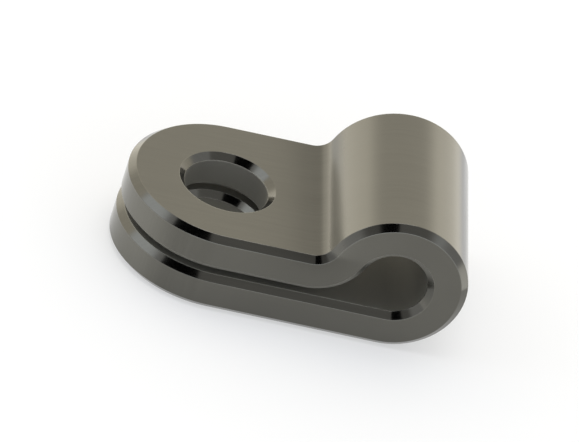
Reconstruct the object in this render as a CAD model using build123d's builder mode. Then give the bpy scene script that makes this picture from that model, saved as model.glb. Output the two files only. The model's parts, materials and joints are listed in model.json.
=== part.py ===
from build123d import *
from math import asin, degrees
import os

# A P clip made from one strip. The strip is folded round a loop that holds a cable, and its two legs
# lie one over the other, with a screw hole through both.
# X runs from the screw to the loop, Y across the strip and Z up. The origin is on the screw hole's axis,
# in the underside that the screw pulls down. All sizes are in millimetres.

# Driving dimensions
cable_diameter = 5.0  # bore of the loop
strip_width = 15.0
strip_thickness = 3.0
leg_gap = 0.5  # between the two legs, until the screw closes it
fold_radius = 1.5  # on the strip's outer face, where the upper leg turns up into the loop
hole_diameter = 6.4  # clears an M6 screw
hole_to_loop = 13.0  # from the screw's axis to the cable's axis
edge_chamfer = 0.5

# Sizes that follow
loop_radius = cable_diameter / 2 + strip_thickness
tab_radius = strip_width / 2
legs_height = 2 * strip_thickness + leg_gap
blank_length = hole_to_loop + loop_radius + strip_width  # runs past the finished clip every way

# The fold and the loop are tangent arcs that curve opposite ways, so their centres are as far apart as
# their two radii together. The height between the centres gives the slope of the line that joins them,
# and the strip's outer face crosses from one arc to the other on that line.
fold_center_height = legs_height + fold_radius
centers_slope = degrees(asin((fold_center_height - loop_radius) / (loop_radius + fold_radius)))
loop_turn = 270 - centers_slope
fold_turn = 180 - loop_turn

os.makedirs("parts", exist_ok=True)

with BuildPart() as clip_body:
    # Side view. The strip's outer face runs along the lower leg, round the loop, over the fold and back
    # along the upper leg, and the thickness is on its inner side.
    with BuildSketch(Plane.XZ):
        with BuildLine():
            lower_leg = Line((-strip_width, 0), (hole_to_loop, 0))
            loop = JernArc(lower_leg @ 1, lower_leg % 1, loop_radius, loop_turn)
            fold = JernArc(loop @ 1, loop % 1, fold_radius, fold_turn)
            Line(fold @ 1, (-strip_width, legs_height))
            offset(amount=strip_thickness, side=Side.LEFT)
        make_face()
    extrude(amount=strip_width, both=True)

    # Top view. Straight sides, and a full round end about the screw hole on both legs.
    with BuildSketch():
        Circle(tab_radius)
        Rectangle(blank_length, strip_width, align=(Align.MIN, Align.CENTER))
    extrude(amount=blank_length, both=True, mode=Mode.INTERSECT)

    Hole(hole_diameter / 2)

    # Every corner is broken. The edges along Y and Z are only the lines where one surface runs
    # smoothly into the next, so they stay.
    corners = edges().filter_by(Axis.Y, reverse=True).filter_by(Axis.Z, reverse=True)
    chamfer(corners, length=edge_chamfer)

clip_body.part.label = "clip_body"
export_step(clip_body.part, "parts/clip_body.step")
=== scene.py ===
import json
import math
from collections import namedtuple

import bmesh
import bpy
from bpy.props import FloatProperty, FloatVectorProperty, PointerProperty
from mathutils import Matrix, Vector


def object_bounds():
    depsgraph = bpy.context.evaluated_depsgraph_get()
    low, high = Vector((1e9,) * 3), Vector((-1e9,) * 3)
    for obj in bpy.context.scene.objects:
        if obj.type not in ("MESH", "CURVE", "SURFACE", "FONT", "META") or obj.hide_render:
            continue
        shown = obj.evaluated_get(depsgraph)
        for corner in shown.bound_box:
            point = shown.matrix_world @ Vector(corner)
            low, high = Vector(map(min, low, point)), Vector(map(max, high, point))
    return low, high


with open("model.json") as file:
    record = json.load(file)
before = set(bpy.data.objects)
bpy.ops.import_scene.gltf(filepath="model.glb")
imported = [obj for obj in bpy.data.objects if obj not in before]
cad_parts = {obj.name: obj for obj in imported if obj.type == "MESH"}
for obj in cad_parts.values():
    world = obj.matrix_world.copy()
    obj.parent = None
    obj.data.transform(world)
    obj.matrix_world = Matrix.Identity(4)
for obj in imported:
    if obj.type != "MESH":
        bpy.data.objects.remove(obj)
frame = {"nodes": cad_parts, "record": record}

bl_info = {
    "name": "P Clip Finish",
    "version": (1, 0, 0),
    "blender": (4, 5, 0),
    "location": "3D View > Sidebar > P Clip",
    "description": "Gives a folded strip P clip its satin steel finish and lights it on a white floor",
    "category": "Material",
}

CLIP = "clip_body"
CAD_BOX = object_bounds()
MM = 0.001

# The loop's axis, as X and Z, and its two radii. The loop stands on the floor.
MOUNTS = {mount["name"]: mount for mount in frame["record"]["mounts"]}
CABLE = MOUNTS["cable_bore"]
LOOP_AXIS = (CABLE["pos_m"][0], CABLE["pos_m"][2])
LOOP_RADIUS = LOOP_AXIS[1]
BORE_RADIUS = CABLE["dims"]["r_mm"] * MM
BORE_LENGTH = CABLE["dims"]["length_mm"] * MM
HOLE_RADIUS = MOUNTS["screw_hole"]["dims"]["r_mm"] * MM

# The upper leg's top, and the radius that its outer face is folded to where it turns up into the loop
LEG_TOP = MOUNTS["screw_face"]["pos_m"][2]
FOLD_RADIUS = 1.5 * MM

# The two faces of the space between the legs. The loop's wall is as thick as the lower leg.
GAP = (LOOP_RADIUS - BORE_RADIUS, LEG_TOP - (LOOP_RADIUS - BORE_RADIUS))

# The length over which a dull face gives way to the glossy chamfer at its rim
RIM = 0.06 * MM

# The normal's Z up to which a face fully counts as one that looks down, and from which it doesn't
UNDERSIDE = (-0.5, -0.1)

# The same for a wall that stands upright. Here the normal's Z is taken without its sign.
UPRIGHT = (0.2, 0.6)

# The radius of the two round ends, which is half the strip's width. The painted highlight on their walls
# sets in, and is full, at these shares of it behind the screw's axis.
END_RADIUS = CAD_BOX[1].y
TIP = (0.45, 0.8)

# The leg's painted shade gives way to the rise's dullness and painted highlight at these shares of the
# fold's radius above the leg
RISE = (0.2, 0.6)

# How far the rounded normal leaves the true one where wear starts and where it is full, and the mottle's
# values between which it fades in, so that it comes and goes along a corner
WEAR_BEND = (0.003, 0.04)
WEAR_PATCHES = (0.3, 0.55)

# Rays that each look for a corner near a point of the surface
WEAR_SAMPLES = 8

# The noise textures' middle value, and how many finer layers each of the two has
NOISE_MIDDLE = 0.5
GRAIN_DETAIL = 3.0
MOTTLE_DETAIL = 4.0

# How many times more the grain changes the gloss than the colour
GLOSS_GRAIN = 2

# Sides of the polygon that the round floor is made as
FLOOR_SIDES = 128


class Wire:
    """A node's output that sums can be written with. Each operator adds one Math node."""

    def __init__(self, graph, socket):
        self.graph = graph
        self.socket = socket

    def __add__(self, other):
        return self.graph.math("ADD", self, other)

    def __sub__(self, other):
        return self.graph.math("SUBTRACT", self, other)

    def __rsub__(self, other):
        return self.graph.math("SUBTRACT", other, self)

    def __mul__(self, other):
        return self.graph.math("MULTIPLY", self, other)

    def __pow__(self, other):
        return self.graph.math("POWER", self, other)

    def __abs__(self):
        return self.graph.math("ABSOLUTE", self)

    __radd__ = __add__
    __rmul__ = __mul__


class Graph:
    """A node tree that is being filled, from empty."""

    def __init__(self, tree):
        self.tree = tree
        tree.nodes.clear()

    def node(self, kind, settings=None, inputs=None, output=0):
        """Adds a node with its settings, then its sockets' values or links, and returns one output."""
        node = self.tree.nodes.new(kind)
        for name, value in (settings or {}).items():
            setattr(node, name, value)
        for name, value in (inputs or {}).items():
            if isinstance(value, Wire):
                self.tree.links.new(value.socket, node.inputs[name])
            else:
                node.inputs[name].default_value = value
        return Wire(self, node.outputs[output]) if node.outputs else None

    def math(self, operation, *values):
        return self.node("ShaderNodeMath", {"operation": operation}, dict(enumerate(values)))

    def split(self, vector):
        """The three parts of a vector."""
        parts = self.node("ShaderNodeSeparateXYZ", inputs={"Vector": vector})
        return [Wire(self, socket) for socket in parts.socket.node.outputs]

    def between(self, value, low, high):
        """0 where the value is below low, 1 where it is above high, and smooth in between."""
        settings = {"interpolation_type": "SMOOTHSTEP"}
        return self.node(
            "ShaderNodeMapRange", settings, {"Value": value, "From Min": low, "From Max": high}
        )

    def tint(self, color, amount):
        """A colour made darker or lighter by an amount that changes over the surface."""
        return self.node("ShaderNodeVectorMath", {"operation": "SCALE"}, {0: color, "Scale": amount})

    def mix(self, amount, first, second):
        """The first vector where the amount is 0, and the second where it is 1."""
        settings = {"data_type": "VECTOR", "clamp_factor": True}
        return self.node("ShaderNodeMix", settings, {0: amount, 4: first, 5: second}, output=1)


def direction(azimuth, elevation):
    """The unit vector towards an azimuth, 0 on the near side and 90 at the loop, and an elevation."""
    return Vector((
        math.sin(azimuth) * math.cos(elevation),
        -math.cos(azimuth) * math.cos(elevation),
        math.sin(elevation),
    ))


class ClipFinish(bpy.types.PropertyGroup):
    """Satin steel, as it leaves the tumbler"""

    steel: FloatVectorProperty(
        name="Steel", description="Colour of the bare satin surface",
        default=(0.122, 0.119, 0.105), subtype="COLOR", min=0, max=1,
    )
    roughness: FloatProperty(
        name="Roughness", description="Gloss of the satin surface, from mirror to matt",
        default=0.12, min=0, max=1, subtype="FACTOR",
    )
    grain_width: FloatProperty(
        name="Grain Width", description="Width of one line of the rolling grain, across the strip",
        default=0.12 * MM, min=0.01 * MM, unit="LENGTH",
    )
    grain_length: FloatProperty(
        name="Grain Length", description="Length of one line of the rolling grain, along the strip",
        default=5 * MM, min=0.1 * MM, unit="LENGTH",
    )
    grain_contrast: FloatProperty(
        name="Grain Contrast", description="How far the grain changes the colour",
        default=0.18, min=0, max=1, subtype="FACTOR",
    )
    grain_depth: FloatProperty(
        name="Grain Depth", description="Depth of the grain's fine scratches",
        default=0.0004 * MM, min=0, unit="LENGTH",
    )
    mottle_size: FloatProperty(
        name="Mottle Size", description="Size of the faint cloudy patches in the finish",
        default=4 * MM, min=0.1 * MM, unit="LENGTH",
    )
    mottle_contrast: FloatProperty(
        name="Mottle Contrast", description="How far the patches change the colour",
        default=0.08, min=0, max=1, subtype="FACTOR",
    )
    wear_width: FloatProperty(
        name="Wear Width", description="Width of the rounded, burnished line along each chamfer's corners",
        default=0.06 * MM, min=0.001 * MM, unit="LENGTH",
    )
    wear_brightness: FloatProperty(
        name="Wear Brightness", description="How much lighter the burnished corners are",
        default=0.5, min=0, max=2, subtype="FACTOR",
    )
    wear_gloss: FloatProperty(
        name="Wear Gloss", description="How much smoother the burnished corners are",
        default=0.04, min=0, max=1, subtype="FACTOR",
    )
    # Painted highlight: how much lighter the walls of the round ends are painted
    end_highlight_brightness: FloatProperty(
        name="End Brightness", description="How much lighter the burnished walls of the round ends are",
        default=0.5, min=0, max=2, subtype="FACTOR",
    )
    fold_reach: FloatProperty(
        name="Fold Reach", description="How far from the fold its film and its dullness thin to a third",
        default=1 * MM, min=0.1 * MM, unit="LENGTH",
    )
    # Painted shade: how much darker the leg next to the fold is painted
    fold_darkness: FloatProperty(
        name="Fold Darkness", description="How much darker the film on the leg is, where it is thickest",
        default=0.29, min=0, max=1, subtype="FACTOR",
    )
    fold_dullness: FloatProperty(
        name="Fold Dullness", description="How much rougher the rise is, where the strip was folded",
        default=0.25, min=0, max=1, subtype="FACTOR",
    )
    # Painted highlight: how much lighter the rise next to the fold is painted
    rise_painted_highlight: FloatProperty(
        name="Fold Paleness", description="How much lighter the rise is, where the strip was folded",
        default=0.35, min=0, max=2, subtype="FACTOR",
    )
    hole_dullness: FloatProperty(
        name="Hole Dullness", description="How much rougher the screw hole's wall is",
        default=0.65, min=0, max=1, subtype="FACTOR",
    )
    # Painted light: how much lighter the screw hole's wall is painted, against its shade
    hole_painted_light: FloatProperty(
        name="Hole Paleness", description="How much lighter the screw hole's wall is",
        default=1.2, min=0, max=2, subtype="FACTOR",
    )
    inner_dullness: FloatProperty(
        name="Inner Dullness", description="How much rougher the strip's inner face is than the outer",
        default=0.6, min=0, max=1, subtype="FACTOR",
    )
    # Painted light: how much lighter the inner face and the corners that look down are painted, against
    # their shade
    inner_painted_light: FloatProperty(
        name="Inner Paleness", description="How much lighter the strip's inner face is than the outer",
        default=1.0, min=0, max=2, subtype="FACTOR",
    )


def fold_axis():
    """Where the fold's axis is, as X and Z. The fold's arc and the loop's run smoothly into each other,
    so the two axes are as far apart as the two radii together."""
    height = LEG_TOP + FOLD_RADIUS
    aside = math.sqrt((LOOP_RADIUS + FOLD_RADIUS) ** 2 - (height - LOOP_AXIS[1]) ** 2)
    return LOOP_AXIS[0] - aside, height


def distance(x, z, axis):
    """How far a point is from an axis along Y."""
    return x.graph.math("SQRT", (x - axis[0]) ** 2 + (z - axis[1]) ** 2)


def satin_steel(finish):
    """Steel strip with a faint rolling grain along it, cloudy tumbled patches and burnished corners."""
    material = bpy.data.materials.new("satin_steel")
    material.use_nodes = True
    graph = Graph(material.node_tree)
    place = graph.node("ShaderNodeTexCoord", output="Object")

    # The grain follows the strip wherever it is folded, because it is fine only across the strip
    across, along = 1 / finish.grain_width, 1 / finish.grain_length
    stretched = graph.node(
        "ShaderNodeMapping",
        inputs={"Vector": place, "Scale": (along, across, along)},
    )
    grain = graph.node(
        "ShaderNodeTexNoise",
        inputs={"Vector": stretched, "Scale": 1.0, "Detail": GRAIN_DETAIL},
    )
    mottle = graph.node(
        "ShaderNodeTexNoise",
        inputs={"Vector": place, "Scale": 1 / finish.mottle_size, "Detail": MOTTLE_DETAIL},
    )

    # A rounded normal leaves the true one only beside a corner
    true_normal = graph.node("ShaderNodeNewGeometry", output="Normal")
    rounded_normal = graph.node(
        "ShaderNodeBevel", {"samples": WEAR_SAMPLES}, {"Radius": finish.wear_width}
    )
    likeness = graph.node(
        "ShaderNodeVectorMath", {"operation": "DOT_PRODUCT"},
        {0: true_normal, 1: rounded_normal}, output="Value",
    )
    wear = graph.between(1 - likeness, *WEAR_BEND) * graph.between(mottle, *WEAR_PATCHES)

    # The upright walls of the round ends are painted lighter towards their tips, a painted highlight
    x, y, z = graph.split(place)
    normal_z = graph.split(true_normal)[2]
    upright = 1 - graph.between(abs(normal_z), *UPRIGHT)
    painted_end_highlight = upright * graph.between(0 - x, *(share * END_RADIUS for share in TIP))

    # Near the fold the leg is painted darker, a painted shade in the crease. The rise is duller, with the
    # mark of the bar that it was folded round, and it is painted lighter too, a painted highlight.
    from_fold = distance(x, z, fold_axis()) - FOLD_RADIUS
    near_fold = graph.math("EXPONENT", from_fold * (-1 / finish.fold_reach))
    rise = graph.between(z, *(LEG_TOP + share * FOLD_RADIUS for share in RISE))
    painted_fold_shade = near_fold * (1 - rise)
    dull_and_painted_rise = near_fold * rise

    # The strip's inner face, in the loop and between the legs, stays as dull as it was rolled, and so do
    # its corners that look down. All of these are also painted lighter, a painted light that lifts their
    # shade.
    looks_down = 1 - graph.between(normal_z, *UNDERSIDE)
    in_loop = 1 - graph.between(distance(x, z, LOOP_AXIS), BORE_RADIUS, LOOP_RADIUS)
    off_rim = 1 - graph.between(abs(y), BORE_LENGTH / 2 - RIM, BORE_LENGTH / 2)
    on_legs = 1 - graph.between(x, LOOP_AXIS[0] - BORE_RADIUS, LOOP_AXIS[0])
    gap_floor, gap_ceiling = GAP
    above_floor = graph.between(z, gap_floor - RIM, gap_floor)
    below_ceiling = 1 - graph.between(z, gap_ceiling, gap_ceiling + RIM)
    dull_and_painted_inner_face = graph.math(
        "MAXIMUM",
        in_loop * graph.math("MAXIMUM", off_rim, looks_down),
        on_legs * above_floor * graph.math("MAXIMUM", below_ceiling, looks_down),
    )

    # The punch has left the screw hole's wall dull, and it is also painted lighter, a painted light that
    # lifts its shade
    from_screw = graph.math("SQRT", x ** 2 + y ** 2)
    dull_and_painted_hole = 1 - graph.between(from_screw, HOLE_RADIUS, HOLE_RADIUS + RIM)
    dullness = (
        dull_and_painted_rise * finish.fold_dullness
        + dull_and_painted_inner_face * finish.inner_dullness
        + dull_and_painted_hole * finish.hole_dullness
    )
    # The painted highlights and painted light of the rise, the inner face, the hole and the round ends
    painted_light = (
        dull_and_painted_rise * finish.rise_painted_highlight
        + dull_and_painted_inner_face * finish.inner_painted_light
        + dull_and_painted_hole * finish.hole_painted_light
        + painted_end_highlight * finish.end_highlight_brightness
    )

    # The colour's factor: grain, mottle and wear, plus the painted light, less the painted shade by the
    # fold
    shade = (
        1
        + (grain - NOISE_MIDDLE) * finish.grain_contrast
        + (mottle - NOISE_MIDDLE) * finish.mottle_contrast
        + wear * finish.wear_brightness
        + painted_light
        - painted_fold_shade * finish.fold_darkness
    )
    color = graph.tint(finish.steel[:], shade)
    grained = finish.roughness * (1 + (grain - NOISE_MIDDLE) * (GLOSS_GRAIN * finish.grain_contrast))
    roughness = grained - wear * finish.wear_gloss + dullness

    # The scratches' height is in metres, so the bump's distance is 1
    scratches = graph.node("ShaderNodeBump", inputs={
        "Height": grain * finish.grain_depth,
        "Strength": 1.0,
        "Distance": 1.0,
        "Normal": rounded_normal,
    })
    steel = graph.node("ShaderNodeBsdfPrincipled", inputs={
        "Base Color": color,
        "Metallic": 1.0,
        "Roughness": roughness,
        "Normal": scratches,
    })
    graph.node("ShaderNodeOutputMaterial", inputs={"Surface": steel})
    return material


class PCLIP_OT_finish_clip(bpy.types.Operator):
    """Give the clip its satin steel"""

    bl_idname = "p_clip.finish_clip"
    bl_label = "Finish Clip"

    def execute(self, context):
        clip = frame["nodes"][CLIP]
        steel = satin_steel(context.scene.p_clip_finish)
        for slot in clip.material_slots:
            slot.material = steel
        return {"FINISHED"}


WHITE = (1.0, 1.0, 1.0)
WARM = (1.05, 1.0, 0.89)
COOL = (0.95, 1.0, 1.07)

# What the room's walls are painted with, each over the ones before it. The angles are in degrees, and
# the edge is how far a panel fades out to each side of its outline. A brightness of 1 is white.
Panel = namedtuple("Panel", "name azimuth elevation width height edge brightness tint")
PANELS = (
    Panel("ground", 0, -50, 720, 100, 0.5, 1.1, WHITE),
    Panel("near_fill", 10, 8, 100, 56, 8, 1.5, COOL),
    Panel("back_wall", 180, 36, 150, 76, 8, 1.35, WARM),
    Panel("back_window", -178, 6, 80, 36, 7, 2.0, WARM),
    Panel("right_window", 97, -13, 38, 30, 5, 2.0, WHITE),
    Panel("left_window", -90, 37, 36, 20, 4, 1.85, COOL),
    Panel("gray_flag", 26, 55, 72, 24, 4, 0.43, WHITE),
    Panel("left_shade", -43, 37, 28, 22, 6, 0.35, WHITE),
    Panel("black_flag", -36, 53, 54, 20, 0.7, 0.0, WHITE),
)


class ClipStage(bpy.types.PropertyGroup):
    """Floor, room, overhead lamp and the camera"""

    floor_color: FloatVectorProperty(
        name="Floor", description="Colour of the floor",
        default=(0.92, 0.93, 0.945), subtype="COLOR", min=0, max=1,
    )
    floor_radius: FloatProperty(
        name="Floor Radius", description="Radius of the round floor, which ends out of the picture",
        default=28 * MM, min=20 * MM, unit="LENGTH",
    )
    floor_evenness: FloatProperty(
        name="Floor Evenness",
        description="Share of the floor's white that takes no shadow, in the picture and in the steel",
        default=0.5, min=0, max=1, subtype="FACTOR",
    )
    even_white: FloatProperty(
        name="Even White", description="Brightness of that share, where 1 is white",
        default=0.955, min=0, max=1, subtype="FACTOR",
    )
    room_color: FloatVectorProperty(
        name="Room", description="Light that comes from the walls between the panels",
        default=(0.79, 0.8, 0.83), subtype="COLOR", min=0, soft_max=2,
    )
    lamp_height: FloatProperty(
        name="Lamp Height", description="Height of the overhead lamp",
        default=1, min=0.1, unit="LENGTH",
    )
    lamp_size: FloatProperty(
        name="Lamp Size", description="Side of the square overhead lamp",
        default=0.5, min=0.01, unit="LENGTH",
    )
    lamp_brightness: FloatProperty(
        name="Lamp Brightness", description="How bright the overhead lamp is, where 1 is white",
        default=1.8, min=0,
    )
    view_center: FloatVectorProperty(
        name="View Center", description="Point in the middle of the picture",
        default=(5.322 * MM, 0, 4.220 * MM), subtype="XYZ", unit="LENGTH",
    )
    view_distance: FloatProperty(
        name="View Distance", description="From the camera to the middle of the picture",
        default=250 * MM, min=50 * MM, unit="LENGTH",
    )
    view_azimuth: FloatProperty(
        name="View Azimuth", description="Direction of the camera round the clip",
        default=math.radians(-10.22), subtype="ANGLE",
    )
    view_elevation: FloatProperty(
        name="View Elevation", description="Height of the camera above the horizon",
        default=math.radians(34.19), subtype="ANGLE",
    )
    view_roll: FloatProperty(
        name="View Roll", description="Turn of the camera about its line of sight",
        default=math.radians(17.81), subtype="ANGLE",
    )
    view_width: FloatProperty(
        name="View Width", description="Width that the picture takes in",
        default=42.91 * MM, min=1 * MM, unit="LENGTH",
    )


def add_floor(stage):
    middle = (CAD_BOX[0] + CAD_BOX[1]) / 2
    form = bmesh.new()
    bmesh.ops.create_circle(form, cap_ends=True, segments=FLOOR_SIDES, radius=stage.floor_radius)
    mesh = bpy.data.meshes.new("floor")
    form.to_mesh(mesh)
    form.free()
    floor = bpy.data.objects.new("floor", mesh)
    floor.location = (middle.x, middle.y, 0)
    bpy.context.scene.collection.objects.link(floor)
    material = bpy.data.materials.new("white_floor")
    material.use_nodes = True
    graph = Graph(material.node_tree)
    paint = graph.node("ShaderNodeBsdfDiffuse", inputs={"Color": (*stage.floor_color, 1)})
    white = graph.node("ShaderNodeEmission", inputs={"Strength": stage.even_white})
    seen = graph.node("ShaderNodeLightPath", output="Is Camera Ray")
    mirrored = graph.node("ShaderNodeLightPath", output="Is Glossy Ray")
    even = graph.math("MAXIMUM", seen, mirrored) * stage.floor_evenness
    surface = graph.node("ShaderNodeMixShader", inputs={0: even, 1: paint, 2: white})
    graph.node("ShaderNodeOutputMaterial", inputs={"Surface": surface})
    mesh.materials.append(material)


def paint_room(stage):
    """The walls of the room, which light the clip from all round and are mirrored in its steel."""
    world = bpy.data.worlds.new("room")
    bpy.context.scene.world = world
    world.use_nodes = True
    graph = Graph(world.node_tree)
    x, y, z = graph.split(graph.node("ShaderNodeTexCoord", output="Generated"))
    azimuth = graph.math("ARCTAN2", x, 0 - y)
    elevation = graph.math("ARCSINE", z)

    color = stage.room_color[:]
    for panel in PANELS:
        inside = 1
        for angle, center, size in (
            (azimuth, panel.azimuth, panel.width),
            (elevation, panel.elevation, panel.height),
        ):
            off_center = abs(graph.math("WRAP", angle - math.radians(center), math.pi, -math.pi))
            outside = graph.between(
                off_center, math.radians(size / 2 - panel.edge), math.radians(size / 2 + panel.edge)
            )
            inside = inside * (1 - outside)
        glow = [panel.brightness * part for part in panel.tint]
        color = graph.mix(inside, color, glow)
    walls = graph.node("ShaderNodeBackground", inputs={"Color": color})
    graph.node("ShaderNodeOutputWorld", inputs={"Surface": walls})


def add_lamp(stage):
    """A square softbox straight above the screw's axis, with the power that its brightness needs."""
    lamp = bpy.data.lights.new("overhead_lamp", "AREA")
    lamp.size = stage.lamp_size
    lamp.energy = stage.lamp_brightness * math.pi * stage.lamp_size ** 2
    softbox = bpy.data.objects.new("overhead_lamp", lamp)
    bpy.context.scene.collection.objects.link(softbox)
    softbox.location.z = stage.lamp_height


def add_camera(stage):
    """A camera with parallel lines of sight, rolled about its own axis."""
    lens = bpy.data.cameras.new("camera")
    lens.type = "ORTHO"
    lens.ortho_scale = stage.view_width
    camera = bpy.data.objects.new("camera", lens)
    bpy.context.scene.collection.objects.link(camera)
    back = direction(stage.view_azimuth, stage.view_elevation)
    place = Matrix.Translation(Vector(stage.view_center) + back * stage.view_distance)
    aim = back.to_track_quat("Z", "Y").to_matrix().to_4x4()
    camera.matrix_world = place @ aim @ Matrix.Rotation(stage.view_roll, 4, "Z")
    bpy.context.scene.camera = camera


class PCLIP_OT_set_stage(bpy.types.Operator):
    """Set the clip on a white floor in a softly lit room, and aim the camera"""

    bl_idname = "p_clip.set_stage"
    bl_label = "Set Stage"

    def execute(self, context):
        stage = context.scene.p_clip_stage
        add_floor(stage)
        paint_room(stage)
        add_lamp(stage)
        add_camera(stage)
        context.scene.view_settings.view_transform = "Standard"
        return {"FINISHED"}


class PCLIP_PT_panel(bpy.types.Panel):
    bl_idname = "PCLIP_PT_panel"
    bl_label = "P Clip"
    bl_space_type = "VIEW_3D"
    bl_region_type = "UI"
    bl_category = "P Clip"

    def draw(self, context):
        for settings, operator in (
            (context.scene.p_clip_finish, PCLIP_OT_finish_clip),
            (context.scene.p_clip_stage, PCLIP_OT_set_stage),
        ):
            box = self.layout.box()
            for name in settings.__annotations__:
                box.prop(settings, name)
            box.operator(operator.bl_idname)


CLASSES = (ClipFinish, ClipStage, PCLIP_OT_finish_clip, PCLIP_OT_set_stage, PCLIP_PT_panel)


def register():
    for each in CLASSES:
        bpy.utils.register_class(each)
    bpy.types.Scene.p_clip_finish = PointerProperty(type=ClipFinish)
    bpy.types.Scene.p_clip_stage = PointerProperty(type=ClipStage)


def unregister():
    del bpy.types.Scene.p_clip_stage
    del bpy.types.Scene.p_clip_finish
    for each in reversed(CLASSES):
        bpy.utils.unregister_class(each)


def main():
    register()
    bpy.ops.p_clip.finish_clip()
    bpy.ops.p_clip.set_stage()


if __name__ == "__main__":
    main()
